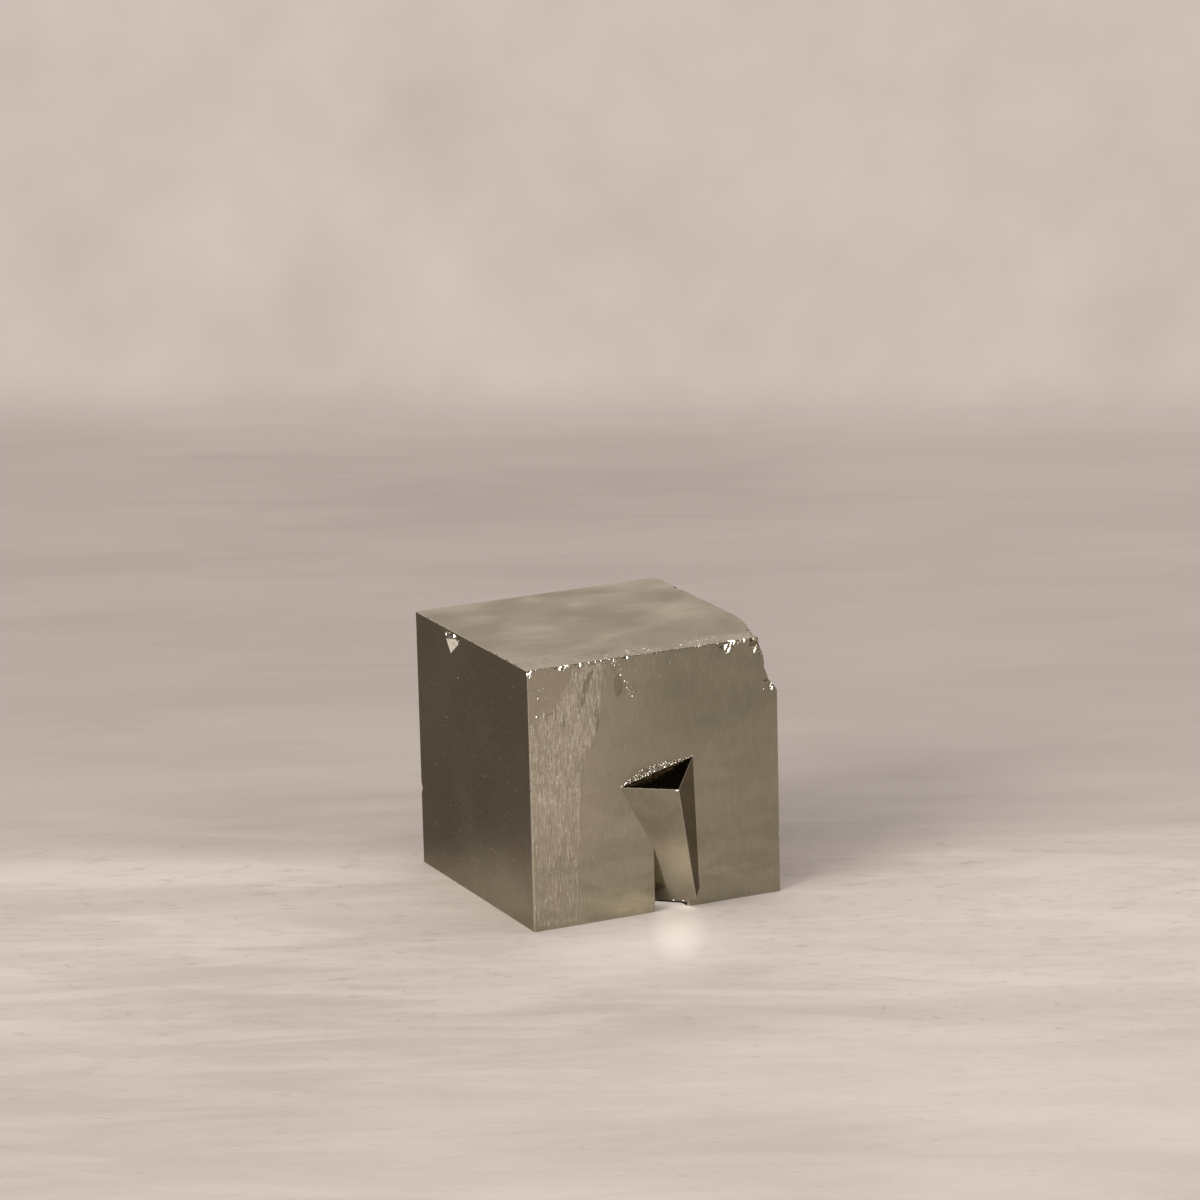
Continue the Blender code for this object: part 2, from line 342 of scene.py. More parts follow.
    # fine nicks along every edge: start, end, how many, size
    edges = (
        ((-XR, YF, ZT), (XR - 3, YF, ZT), 95, 0.11), ((-XR, YF, ZT), (-XR, -YF, ZT), 46, 0.09), ((-XR, YF, 0), (-XR, YF, ZT), 26, 0.07),
        ((XR, YF, 0), (XR, YF, 31), 26, 0.09), ((-XR, -YF, ZT), (XR, -YF, ZT), 44, 0.10), ((XR, -4, ZT), (XR, -YF, ZT), 34, 0.11),
        ((XR, -YF, 0), (XR, -YF, ZT), 40, 0.10), ((-XR, -YF, 0), (-XR, -YF, ZT), 40, 0.10), ((-XR, YF, 0), (XR, YF, 0), 30, 0.08),
        ((-XR, YF, 0), (-XR, -YF, 0), 30, 0.08), ((XR, YF, 0), (XR, -YF, 0), 30, 0.08), ((-XR, -YF, 0), (XR, -YF, 0), 30, 0.08),
    )
    for start, end, count, size in edges:
        start, end = Vector(start), Vector(end)
        way = (end - start).normalized()
        for _ in range(count):
            p = start.lerp(end, rng.random())
            r = size * rng.lognormvariate(0, 0.45)
            stretch = rng.uniform(1.0, 2.6)
            radii = [r * (stretch if abs(way[i]) > 0.5 else 1.0) for i in range(3)]
            shard(bm, rng, p, radii, 9)
    # a few larger bruises on the sides that face away
    for p, radii in (
        ((XR, 12.5, ZT), (0.7, 1.3, 0.5)), ((XR, 20.25, 27.0), (0.6, 0.5, 1.4)), ((XR, 20.25, 39.9), (0.9, 0.8, 0.7)),
        ((-9.0, 20.25, ZT), (1.2, 0.5, 0.4)), ((-XR, 20.25, 12.0), (0.5, 0.5, 1.1)), ((5.0, 20.25, ZT), (0.6, 0.35, 0.3)),
        ((XR, -20.25, 9.0), (0.35, 0.35, 0.8)), ((-XR, 20.25, ZT), (0.25, 0.25, 0.25)), ((XR, 3.0, 0.0), (0.4, 1.0, 0.35)),
    ):
        shard(bm, rng, p, radii, 14)
    return link("cut_chips", bm, scale=1)


def main_crystal():
    rng = random.Random(7)
    bm = bmesh.new()
    bmesh.ops.create_cube(bm, size=1.0)
    bmesh.ops.scale(bm, vec=(W, D, H), verts=bm.verts)
    bmesh.ops.translate(bm, vec=(0, 0, H / 2), verts=bm.verts)
    bmesh.ops.bevel(bm, geom=bm.edges[:], offset=0.11, segments=2, profile=0.5, affect="EDGES")
    obj = link("main_crystal_looks", bm, scale=1)
    boolean(obj, break_cutter(rng))
    boolean(obj, cleft_cutter(), self_cross=True)
    boolean(obj, chips(rng), self_cross=True)
    obj.data.transform(Matrix.Scale(MM, 4))
    return obj


# ---------------------------------------------------------------- second crystal
def second_crystal():
    rng = random.Random(11)
    bm = bmesh.new()
    bmesh.ops.create_cube(bm, size=1.0)
    turn = Matrix((LEFT, RIGHT, DOWN)).transposed()
    for v in bm.verts:
        v.co = CORNER + turn @ Vector(((v.co.x + 0.5) * 10.8, (v.co.y + 0.5) * 10.8, (v.co.z + 0.5) * 40))
    slice_off(bm, Vector((0, 0, SECOND_BOTTOM)), Vector((0, 0, -1)))
    a, b, c = HEEL
    outward = (b - a).cross(c - a).normalized()
    if outward.dot(CORNER + DOWN * 40 - a) < 0:
        outward = -outward
    slice_off(bm, a, outward)
    bmesh.ops.bevel(bm, geom=bm.edges[:], offset=0.10, segments=2, profile=0.5, affect="EDGES")
    obj = link("intergrown_crystal_looks", bm, scale=1)
    cut = bmesh.new()
    shard(cut, rng, CORNER - Vector((0.02, 0.05, -0.05)), (0.26, 0.26, 0.2), 12)
    for start, way, length, count, size in ((CORNER, DOWN, 20, 22, 0.07), (CORNER, LEFT, 9, 12, 0.06), (CORNER, RIGHT, 8.5, 8, 0.05)):
        for _ in range(count):
            r = size * rng.lognormvariate(0, 0.4)
            shard(cut, rng, start + way * length * rng.random(), (r, r, r), 9)
    # the ragged lower end of its left face
    for k in range(9):
        p = CORNER + DOWN * (20.6 + rng.uniform(-0.25, 0.2)) + LEFT * (0.6 + 0.85 * k + rng.uniform(-0.2, 0.2))
        r = rng.uniform(0.15, 0.34)
        shard(cut, rng, (p.x, p.y, SECOND_BOTTOM + rng.uniform(-0.1, 0.05)), (r * 1.5, r, r), 10)
    low = (SECOND_BOTTOM - CORNER.z) / DOWN.z
    for k in range(26):
        p = CORNER + DOWN * low + LEFT * (1.2 + 6.6 * k / 25 + rng.uniform(-0.1, 0.1))
        r = rng.uniform(0.10, 0.27)
        shard(cut, rng, p, (r * 1.6, r, r * 0.9), 10)
    for k in (2.1, 3.6, 4.0, 6.3):
        scoop(cut, rng, CORNER + DOWN * (low - 0.25) + LEFT * k, 0.2, GLINT, -RIGHT, 0.1)
    for k in range(46):
        scoop(cut, rng, CORNER + DOWN * rng.uniform(0, 20), rng.uniform(0.04, 0.085), GLINT, -RIGHT, 0.4)
    for k in range(26):
        scoop(cut, rng, CORNER + LEFT * rng.uniform(0, 9), rng.uniform(0.04, 0.08), GLINT, -RIGHT, 0.4)
    scoop(cut, rng, CORNER + LEFT * 0.25 + DOWN * 0.15, 0.26, GLINT, -RIGHT, 0.1)
    boolean(obj, link("cut_second", cut, scale=1), self_cross=True)
    obj.data.transform(Matrix.Scale(MM, 4))
    return obj


# ---------------------------------------------------------------- growth relief that stands on the faces
def roof(bm, centre, way, across, out, length, width, height, skew):
    """A long low ridge with pointed ends, its crest off centre by `skew`."""
    p = [centre - way * length / 2, centre + way * length / 2]
    sides = [centre - across * width / 2 - way * length * 0.12, centre + across * width / 2 + way * length * 0.12]
    sink = out * -0.03
    crest = [centre + across * skew * width - way * length * 0.22 + out * height, centre + across * skew * width + way * length * 0.22 + out * height]
    low = [q + sink for q in (p[0], sides[0] - way * length * 0.2, sides[0] + way * length * 0.3, p[1], sides[1] + way * length * 0.2, sides[1] - way * length * 0.3)]
    add_hull(bm, low + crest)


LAYER_RIGHT = ((1.2, -12.6), (12.0, -12.4), (22.3, -12.0), (25.7, -11.8), (27.4, -10.0), (31.0, -9.2), (33.0, -8.4), (36.4, -8.7), (39.3, -7.6))
LAYER_UPPER = ((-20.34, 31.2), (-19.3, 31.5), (-18.0, 32.8), (-16.6, 33.1), (-16.0, 33.5), (-14.9, 35.4), (-13.6, 37.6), (-13.0, 39.6))


def on_layer(x, z, margin=0.25):
    return x < along(LAYER_RIGHT, z) - margin and z < along(LAYER_UPPER, x) - margin * 1.5


def striations():
    """Fine upright growth ridges on the front face, dense on its left."""
    rng = random.Random(23)
    bm = bmesh.new()
    out, way, across = Vector((0, -1, 0)), Vector((0, 0, 1)), Vector((1, 0, 0))
    for k in range(9800):
        x, z = rng.uniform(-20.2, 18.0 if k < 5600 else -8.0), rng.uniform(1.0, 39.4)
        layer = on_layer(x, z)
        if layer:
            zone = 0.20 + 0.75 * smooth(10, 22, z) * smooth(39, 30, z) + 0.35 * smooth(30, 34, z)
        else:
            zone = 0.10 * smooth(2, -8, x) + 0.26 * smooth(31, 37, z) * smooth(20, 12, x) * smooth(-12, -8, x) + 0.03
            if x < -12.0 and z > 31.0:
                zone = 0.07
        if rng.random() > zone or (-7.2 < x < -4.3 and 33.4 < z < 38.4) or (not layer and on_layer(x, z, -0.3)):
            continue
        if (-1.2 < x < 7.5 and z < 24.5) or x > XR - 0.8 - along(FRONT_RIM, z) or (x > 10.2 and z > 37.6):
            continue
        width = rng.uniform(0.06, 0.17)
        length = rng.uniform(0.8, 3.2)
        length = min(length, (39.7 - z) * 2, (z - 0.4) * 2)
        direction = (way + across * rng.gauss(0.02 if x < -9 else 0, 0.05)).normalized()
        base = YF - (0.030 if layer else 0.0)
        roof(bm, Vector((x, base, z)), direction, across, out, length, width, width * (rng.uniform(0.09, 0.24) if layer else rng.uniform(0.02, 0.07)), rng.uniform(-0.35, 0.35))
    return link("growth_striations_front", bm)


def plate(bm, outline, thick, slope):
    """A thin growth layer on the front face with sloping sides; the outline is (x, z), counter-clockwise seen from the front."""
    count = len(outline)
    pts = [Vector(p) for p in outline]
    area = sum(pts[i].x * pts[(i + 1) % count].y - pts[(i + 1) % count].x * pts[i].y for i in range(count))
    inner = []
    for i in range(count):
        a, b, c = pts[i - 1], pts[i], pts[(i + 1) % count]
        u, v = (b - a).normalized(), (c - b).normalized()
        side = (Vector((-u.y, u.x)) + Vector((-v.y, v.x))).normalized() * (1 if area > 0 else -1)
        inner.append(b + side * slope)
    low = [bm.verts.new((p.x, YF + 0.02, p.y)) for p in pts]
    high = [bm.verts.new((p.x, YF - thick, p.y)) for p in inner]
    bm.faces.new(high)
    bm.faces.new(low[::-1])
    for i in range(count):
        j = (i + 1) % count
        bm.faces.new((low[i], low[j], high[j], high[i]))


def ragged(rng, points, step, shake, closed=True):
    """The outline cut into short pieces and shaken."""
    out = []
    count = len(points)
    for i in range(count if closed else count - 1):
        a, b = Vector(points[i]), Vector(points[(i + 1) % count])
        pieces = max(1, int((b - a).length / step))
        for k in range(pieces):
            p = a.lerp(b, k / pieces)
            if k:
                p += Vector((rng.uniform(-shake, shake), rng.uniform(-shake, shake) * 1.6))
            out.append(p)
    return out


def streaked_layer():
    """The brighter, closely streaked growth layer on the left of the front face."""
    rng = random.Random(53)
    bm = bmesh.new()
    right = ragged(rng, [(x, z) for z, x in LAYER_RIGHT], 0.7, 0.14, False)
    upper = ragged(rng, [(-7.6, 39.5)] + [(x, z) for x, z in LAYER_UPPER[::-1]], 0.5, 0.11, False)
    plate(bm, right + upper + [Vector((-20.34, 31.2)), Vector((-20.34, 1.2))], 0.030, 0.09)
    return link("growth_layer_streaked", bm)


def smooth_layers():
    """Small darker growth layers with pointed ends near the upper edge."""
    rng = random.Random(59)
    bm = bmesh.new()
    plate(bm, ragged(rng, ((-12.1, 32.6), (-11.5, 33.6), (-11.1, 35.2), (-10.4, 36.9), (-9.7, 38.4), (-9.9, 38.9), (-10.9, 38.2), (-11.7, 36.6), (-12.1, 34.6)), 0.45, 0.13), 0.048, 0.10)
    plate(bm, ragged(rng, ((-5.9, 33.9), (-5.2, 34.6), (-4.95, 35.9), (-5.2, 37.0), (-5.9, 37.9), (-6.5, 37.1), (-6.7, 35.8), (-6.45, 34.5)), 0.4, 0.13), 0.022, 0.14)
    plate(bm, ragged(rng, ((-15.0, 30.4), (-14.5, 31.0), (-14.35, 32.3), (-14.7, 33.0), (-15.1, 32.2)), 0.35, 0.09), 0.045, 0.10)
    plate(bm, ragged(rng, ((-9.7, 29.0), (-9.1, 30.0), (-9.0, 32.3), (-9.5, 33.6), (-9.9, 32.0)), 0.35, 0.09), 0.042, 0.10)
    return link("growth_layers_smooth", bm)


def top_streaks():
    """Long low steps on the top face, along its front edge."""
    rng = random.Random(31)
    bm = bmesh.new()
    out, way, across = Vector((0, 0, 1)), Vector((1, 0, 0)), Vector((0, 1, 0))
    for _ in range(1500):
        x, y = rng.uniform(-19.5, 18.5), rng.uniform(-20.0, 18)
        zone = 0.55 * smooth(-14.5, -19.5, y) + 0.10 * smooth(-2, -9, y) + 0.03
        if rng.random() > zone or x > 18.8 - along(TOP_RIM, y):
            continue
        width = rng.uniform(0.06, 0.2)
        length = min(rng.uniform(0.6, 3.5), (20.2 + x) * 2 if x < 0 else 6)
        direction = (way + across * rng.gauss(0, 0.05)).normalized()
        roof(bm, Vector((x, y, ZT)), direction, across, out, length, width, width * rng.uniform(0.015, 0.045), rng.uniform(-0.35, 0.35))
    return link("growth_steps_top", bm)


def side_streaks():
    """Faint growth ridges on the left, right and back faces: level on the sides, upright on the back."""
    rng = random.Random(37)
    bm = bmesh.new()
    for out, way, across, level in (
        (Vector((-1, 0, 0)), Vector((0, 1, 0)), Vector((0, 0, 1)), XR), (Vector((1, 0, 0)), Vector((0, 1, 0)), Vector((0, 0, 1)), XR),
        (Vector((0, 1, 0)), Vector((0, 0, 1)), Vector((1, 0, 0)), -YF),
    ):
        for _ in range(340):
            a, b = rng.uniform(-16.5, 16.5), rng.uniform(2.0, 29.0 if out.x > 0 else 37.5)
            if out.x < 0 and a > 2.5 and b > 31:
                continue
            p = out * level + (Vector((0, a, b)) if out.x else Vector((a, 0, b)))
            width = rng.uniform(0.06, 0.2)
            direction = (way + across * rng.gauss(0, 0.02)).normalized()
            roof(bm, p, direction, across, out, rng.uniform(0.8, 3.6), width, width * rng.uniform(0.012, 0.04), rng.uniform(-0.35, 0.35))
    return link("growth_striations_sides", bm)


def contact_grains():
    """The crust of tiny grains where the second crystal's top face meets the front face."""
    rng = random.Random(41)
    bm = bmesh.new()
    a, b = Vector((-5.93, YF, 20.17)), Vector((6.16, YF, 23.26))
    glint = GLINT.normalized().to_track_quat("X", "Z").to_matrix()
    for _ in range(2200):
        t = rng.random() ** 0.9
        high = 1.15 * smooth(0.0, 0.28, t) * smooth(1.0, 0.45, t) + 0.08
        up = rng.random() ** 1.4 * high
        p = a.lerp(b, t) + Vector((0, rng.uniform(0.0, 0.05), up))
        r = rng.uniform(0.022, 0.06)
        turn = glint @ Matrix.Rotation(rng.uniform(0, math.pi), 3, "X") if rng.random() < 0.07 else random_turn(rng)
        add_hull(bm, [p + turn @ Vector((i * r * 1.3, j * r, k * r)) for i in (-1, 1) for j in (-1, 1) for k in (-1, 1)])
    return link("contact_grains", bm)


# ---------------------------------------------------------------- materials
class Nodes:
    """Short names for building a node tree."""

    def __init__(self, name):
        self.material = bpy.data.materials.new(name)
        self.material.use_nodes = True
        self.tree = self.material.node_tree
        self.shader = self.tree.nodes["Principled BSDF"]

    def add(self, kind, **settings):
        node = self.tree.nodes.new(kind)
        for key, value in settings.items():
            setattr(node, key, value)
        return node

    def put(self, value, socket):
        if hasattr(value, "is_linked") or isinstance(value, bpy.types.NodeSocket):
            self.tree.links.new(value, socket)
        else:
            socket.default_value = value

    def math(self, operation, a, b=0.0, c=0.0, clamp=False):
        node = self.add("ShaderNodeMath", operation=operation, use_clamp=clamp)
        for value, socket in zip((a, b, c), node.inputs):
            self.put(value, socket)
        return node.outputs[0]

    def vector(self, operation, a, b=(0, 0, 0), scale=None):
        node = self.add("ShaderNodeVectorMath", operation=operation)
        self.put(a, node.inputs[0])
        self.put(b, node.inputs[1])
        if scale is not None:
            self.put(scale, node.inputs["Scale"])
        return node.outputs["Value" if operation in ("DOT_PRODUCT", "LENGTH") else "Vector"]

    def steps(self, value, low, high, out_low=0.0, out_high=1.0):
        node = self.add("ShaderNodeMapRange", interpolation_type="SMOOTHSTEP")
        for v, s in zip((value, low, high, out_low, out_high), node.inputs):
            self.put(v, s)
        return node.outputs[0]

    def noise(self, coordinates, scale, detail=3.0, roughness=0.5, distortion=0.0):
        node = self.add("ShaderNodeTexNoise")
        self.put(coordinates, node.inputs["Vector"])
        node.inputs["Scale"].default_value = scale
        node.inputs["Detail"].default_value = detail
        node.inputs["Roughness"].default_value = roughness
        node.inputs["Distortion"].default_value = distortion
        return node.outputs["Fac"]

    def mix(self, factor, a, b):
        node = self.add("ShaderNodeMix", data_type="RGBA")
        self.put(factor, node.inputs["Factor"])
        self.put(a, node.inputs[6])
        self.put(b, node.inputs[7])
        return node.outputs[2]


def pyrite(name, turn=None, painted_shade_faces=(), painted_shade_depth=0.50, streaks=0.0, shade=1.0, polish=0.0):
    """Pyrite crystal faces. Striations run upright on the front, across on the sides, and left to right on the top, in
    the crystal's own axes; `turn` gives those axes for the tilted crystal. Faces turned the listed ways get painted
    shade: a dark brown colour that stands in for their darker reflections."""
    n = Nodes(name)
    place = n.vector("SCALE", n.add("ShaderNodeTexCoord").outputs["Object"], scale=1000.0)
    normal = n.add("ShaderNodeNewGeometry").outputs["True Normal"]
    axes = [tuple(a) for a in turn] if turn is not None else [(1, 0, 0), (0, 1, 0), (0, 0, 1)]
    local, facing = place, normal
    if turn is not None:

        def own(v):
            node = n.add("ShaderNodeCombineXYZ")
            for i in range(3):
                n.tree.links.new(n.vector("DOT_PRODUCT", v, axes[i]), node.inputs[i])
            return node.outputs[0]

        local, facing = own(place), own(normal)
    split = n.add("ShaderNodeSeparateXYZ")
    n.put(facing, split.inputs[0])
    on_x, on_y, on_z = [n.steps(n.math("ABSOLUTE", split.outputs[i]), 0.90, 0.96) for i in range(3)]
    flat = n.math("MAXIMUM", n.math("MAXIMUM", on_x, on_y), on_z)
    worn = n.math("SUBTRACT", 1.0, flat)

    def constant(axis):
        node = n.add("ShaderNodeCombineXYZ")
        for i in range(3):
            node.inputs[i].default_value = axis[i]
        return node.outputs[0]

    # the reflection spreads across the striations
    spread = n.vector("ADD", n.vector("SCALE", constant(axes[0]), scale=on_y), n.vector("SCALE", constant(axes[2]), scale=on_x))
    spread = n.vector("ADD", spread, n.vector("SCALE", constant(axes[1]), scale=on_z))
    spread = n.vector("ADD", spread, (0.001, 0.002, 0.001))
    n.put(n.vector("NORMALIZE", spread), n.shader.inputs["Tangent"])
    n.shader.inputs["Anisotropic"].default_value = 0.6

    where = n.add("ShaderNodeSeparateXYZ")
    n.put(local, where.inputs[0])
    x, y, z = where.outputs
    # streaks along Z on the front, along Y on the sides, along X on the top
    front_lines = n.noise(n.vector("MULTIPLY", local, (1.0, 1.0, 0.07)), 3.2, 4.0, 0.6)
    side_lines = n.noise(n.vector("MULTIPLY", local, (1.0, 0.06, 1.0)), 2.2, 4.0, 0.55)
    top_lines = n.noise(n.vector("MULTIPLY", local, (0.05, 1.0, 1.0)), 1.6, 4.0, 0.55)
    lines = n.math("ADD", n.math("MULTIPLY", front_lines, on_y), n.math("ADD", n.math("MULTIPLY", side_lines, on_x), n.math("MULTIPLY", top_lines, on_z)))
    swell = n.noise(local, 0.075, 1.0, 0.4, 0.3)
    cloud = n.noise(n.vector("MULTIPLY", local, (0.7, 0.7, 1.3)), 0.17, 2.0, 0.45, 0.6)
    scales = n.noise(n.vector("MULTIPLY", local, (1.0, 1.0, 0.25)), 1.7, 3.0, 0.6, 0.5)
    grain = n.noise(local, 7.0, 3.0, 0.6)
    speck = n.steps(n.noise(local, 2.6, 1.0, 0.5), 0.70, 0.76)
    # painted highlight: lighter towards the left of the front face, where its streaks catch the window, and less so low
    # down
    front_left_sheen = n.math("MULTIPLY", n.math("MULTIPLY", n.steps(x, -2.0, -15.0), on_y), n.steps(z, 2.0, 24.0, 0.45, 1.0))

    height = n.math("MULTIPLY", lines, n.math("MULTIPLY_ADD", n.steps(cloud, 0.35, 0.65), 0.0045, 0.0035 + 0.035 * streaks))
    height = n.math("ADD", height, n.math("MULTIPLY", scales, 0.0035 + 0.040 * streaks))
    height = n.math("ADD", height, n.math("MULTIPLY", swell, 0.10))
    height = n.math("ADD", height, n.math("MULTIPLY", cloud, 0.022))
    height = n.math("ADD", height, n.math("MULTIPLY", grain, n.math("MULTIPLY_ADD", worn, 0.016, 0.0003)))
    bump = n.add("ShaderNodeBump")
    bump.inputs["Strength"].default_value = 1.0
    bump.inputs["Distance"].default_value = MM
    n.put(height, bump.inputs["Height"])
    n.put(bump.outputs[0], n.shader.inputs["Normal"])

    rough = n.math("MULTIPLY_ADD", n.steps(cloud, 0.3, 0.7), 0.06, 0.24 - 0.12 * polish + 0.09 * streaks)
    rough = n.math("ADD", rough, n.math("MULTIPLY", n.math("SUBTRACT", lines, 0.5), 0.10))
    rough = n.math("ADD", rough, n.math("MULTIPLY", on_z, 0.06))
    rough = n.math("ADD", rough, n.math("MULTIPLY", speck, 0.15))
    rough = n.math("ADD", n.math("MULTIPLY", rough, flat), n.math("MULTIPLY", worn, n.steps(n.noise(local, 1.6, 2.0, 0.5), 0.35, 0.65, 0.10, 0.40)))
    n.put(rough, n.shader.inputs["Roughness"])

    # brassy grey, a little greener or browner from patch to patch
    colour = n.mix(n.steps(cloud, 0.36, 0.64), (0.500, 0.468, 0.362, 1), (0.425, 0.407, 0.312, 1))
    colour = n.mix(n.math("MULTIPLY", n.steps(swell, 0.40, 0.62), 0.5), colour, (0.480, 0.432, 0.338, 1))
    colour = n.mix(n.math("MULTIPLY", n.steps(scales, 0.42, 0.66), 0.16), colour, (0.66, 0.615, 0.50, 1))
    if streaks:
        # painted highlights and painted shade: light and dark streaks stand in for the glints and shadows of the
        # ridges, and fade towards the right edge of the layer
        within = n.steps(n.math("SUBTRACT", x, n.steps(z, 22.0, 29.0, -12.2, -8.8)), -0.2, -3.4)
        colour = n.mix(n.math("MULTIPLY", n.math("MULTIPLY", n.steps(scales, 0.42, 0.66), 0.42), within), colour, (0.64, 0.598, 0.49, 1))
        colour = n.mix(n.math("MULTIPLY", n.math("MULTIPLY", n.steps(front_lines, 0.52, 0.35), 0.62), within), colour, (0.35, 0.325, 0.24, 1))
    # darker towards the upper right of the front face
    colour = n.mix(n.math("MULTIPLY", n.math("MULTIPLY", on_y, n.steps(z, 17.0, 33.0)), n.steps(x, -5.0, 9.0, 0.0, 0.15 - 0.15 * polish)), colour, (0, 0, 0, 1))
    if turn is not None:
        colour = n.mix(n.steps(n.noise(n.vector("MULTIPLY", local, (1.0, 1.0, 1.5)), 0.16, 2.0, 0.45, 0.5), 0.46, 0.60, 0.0, 0.14), colour, (0.20, 0.185, 0.135, 1))
        # painted reflection: lighter towards the lower end, where the face mirrors the lit table close by
        colour = n.mix(n.steps(z, -18.0, -6.0, 0.0, 0.45), colour, (0.68, 0.63, 0.51, 1))
    colour = n.mix(n.math("MULTIPLY", speck, 0.35), colour, (0.36, 0.33, 0.24, 1))
    # painted highlight on the left of the front face
    colour = n.mix(n.math("MULTIPLY", front_left_sheen, 0.40), colour, (0.66, 0.606, 0.485, 1))
    # painted sheen: the top face gets a lighter, less brown colour than the sides, for the brighter reflection it shows
    colour = n.mix(n.math("MULTIPLY", on_z, 0.9), colour, n.mix(n.steps(top_lines, 0.35, 0.65), (0.735, 0.690, 0.573, 1), (0.800, 0.757, 0.640, 1)))
    # broad smudges, and the granular wear behind the front edge
    top_cloud = n.noise(n.vector("MULTIPLY", local, (0.6, 1.0, 1.0)), 0.085, 3.0, 0.5, 0.25)
    colour = n.mix(n.math("MULTIPLY", on_z, n.steps(top_cloud, 0.42, 0.62, 0.0, 0.72)), colour, (0.490, 0.452, 0.355, 1))
    near_edge = n.math("MULTIPLY", on_z, n.steps(n.math("MULTIPLY_ADD", n.math("SUBTRACT", top_cloud, 0.5), 16.0, y), -9.5, -18.5))
    crumbs = n.noise(n.vector("MULTIPLY", local, (0.55, 1.0, 1.0)), 1.5, 4.0, 0.65, 0.3)
    colour = n.mix(n.math("MULTIPLY", near_edge, n.steps(crumbs, 0.53, 0.66, 0.0, 0.60)), colour, (0.86, 0.83, 0.74, 1))
    colour = n.mix(n.math("MULTIPLY", near_edge, n.steps(crumbs, 0.46, 0.34, 0.0, 0.55)), colour, (0.33, 0.305, 0.235, 1))
    low_cloud = n.noise(n.vector("MULTIPLY", local, (0.5, 1.0, 1.6)), 0.20, 3.0, 0.5, 0.7)
    low_cloud = n.math("MULTIPLY", n.steps(low_cloud, 0.44, 0.62), n.math("MULTIPLY", on_y, n.steps(z, 17.0, 9.0)))
    colour = n.mix(n.math("MULTIPLY", low_cloud, 0.45), colour, (0.36, 0.35, 0.245, 1))
    # painted shade: the wall of the cleft is darkened
    if turn is None:
        wall = n.math("MULTIPLY", on_x, n.steps(n.math("ABSOLUTE", n.math("SUBTRACT", x, CLEFT_X)), 0.40, 0.20))
        colour = n.mix(n.math("MULTIPLY", wall, 0.05), colour, (0.12, 0.095, 0.06, 1))
    for way in painted_shade_faces:
        # painted shade: faces turned this way get a dark brown colour, standing in for their darker reflections
        painted_shade_facing = n.steps(n.vector("DOT_PRODUCT", normal, way), 0.90, 0.97)
        painted_shade_amount = n.math("MULTIPLY", painted_shade_facing, n.math("MULTIPLY_ADD", n.steps(swell, 0.35, 0.65), 0.13, n.math("MULTIPLY_ADD", side_lines, 0.12, painted_shade_depth - 0.12)))
        colour = n.mix(painted_shade_amount, colour, (0.17, 0.131, 0.074, 1))
    colour = n.mix(n.math("MULTIPLY", worn, 0.85), colour, (0.80, 0.765, 0.68, 1))
    if shade != 1.0:
        colour = n.mix(1.0 - shade, colour, (0, 0, 0, 1))
    n.put(colour, n.shader.inputs["Base Color"])
    n.shader.inputs["Metallic"].default_value = 1.0
    return n.material


# ---------------------------------------------------------------- build the pieces
main = main_crystal()
second = second_crystal()
ridges = striations()
steps = top_streaks()
grains = contact_grains()

layer = streaked_layer()
sides = side_streaks()
patches = smooth_layers()

# painted shade on the main crystal's left face
skin = pyrite("pyrite_main_faces", painted_shade_faces=((-1, 0, 0),))
skin_streaked = pyrite("pyrite_streaked_layer", streaks=1.0)
skin_patch = pyrite("pyrite_smooth_patch", shade=0.77, polish=0.3)
# painted shade on two faces of the second crystal
skin_second = pyrite("pyrite_second_faces", turn=(RIGHT, LEFT, DOWN), painted_shade_faces=(tuple(-LEFT), tuple(-DOWN)), painted_shade_depth=1.0, shade=0.85, polish=1.0)
skin_grain = pyrite("pyrite_contact_crust", shade=0.86)
for piece, material, slot in (
    (main, skin, "pyrite_main"), (second, skin_second, "pyrite_second"), (ridges, skin_streaked, "pyrite_main"),
    (steps, skin, "pyrite_main"), (grains, skin_grain, "pyrite_main"), (layer, skin_streaked, "pyrite_main"),
    (patches, skin_patch, "pyrite_main"), (sides, skin, "pyrite_main"),
):
    piece.data.materials.clear()
    piece.data.materials.append(material)
    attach(piece, "root")
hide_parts("main_crystal")
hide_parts("intergrown_crystal")

# ---------------------------------------------------------------- floor, light, camera
bm = bmesh.new()
bmesh.ops.create_circle(bm, cap_ends=True, segments=96, radius=1.2)
floor = link("studio_floor", bm, scale=1)
n = Nodes("pale_tabletop")
ground = n.add("ShaderNodeTexCoord").outputs["Object"]
along_x = n.vector("DOT_PRODUCT", ground, (902.0, -432.0, 0.0))
along_y = n.vector("DOT_PRODUCT", ground, (432.0, 902.0, 0.0))
joined = n.add("ShaderNodeCombineXYZ")
n.put(along_x, joined.inputs[0])
n.put(along_y, joined.inputs[1])
grid = joined.outputs[0]
broad = n.noise(n.vector("MULTIPLY", grid, (0.35, 1.0, 1.0)), 0.022, 3.0, 0.55, 0.3)
streak = n.noise(n.vector("MULTIPLY", grid, (0.22, 1.0, 1.0)), 0.10, 4.0, 0.6, 0.8)
fine = n.noise(n.vector("MULTIPLY", grid, (0.4, 1.0, 1.0)), 0.55, 3.0, 0.6)
pits = n.steps(n.noise(n.vector("MULTIPLY", grid, (0.45, 1.0, 1.0)), 0.50, 3.0, 0.6, 0.5), 0.63, 0.72)
near = n.math("MULTIPLY", n.steps(along_y, 50.0, -5.0), n.steps(along_y, -110.0, -40.0, 0.35, 1.0))
broad_here = n.math("MULTIPLY_ADD", n.math("SUBTRACT", broad, 0.5), n.steps(along_y, 30.0, 110.0, 1.0, 0.4), 0.5)
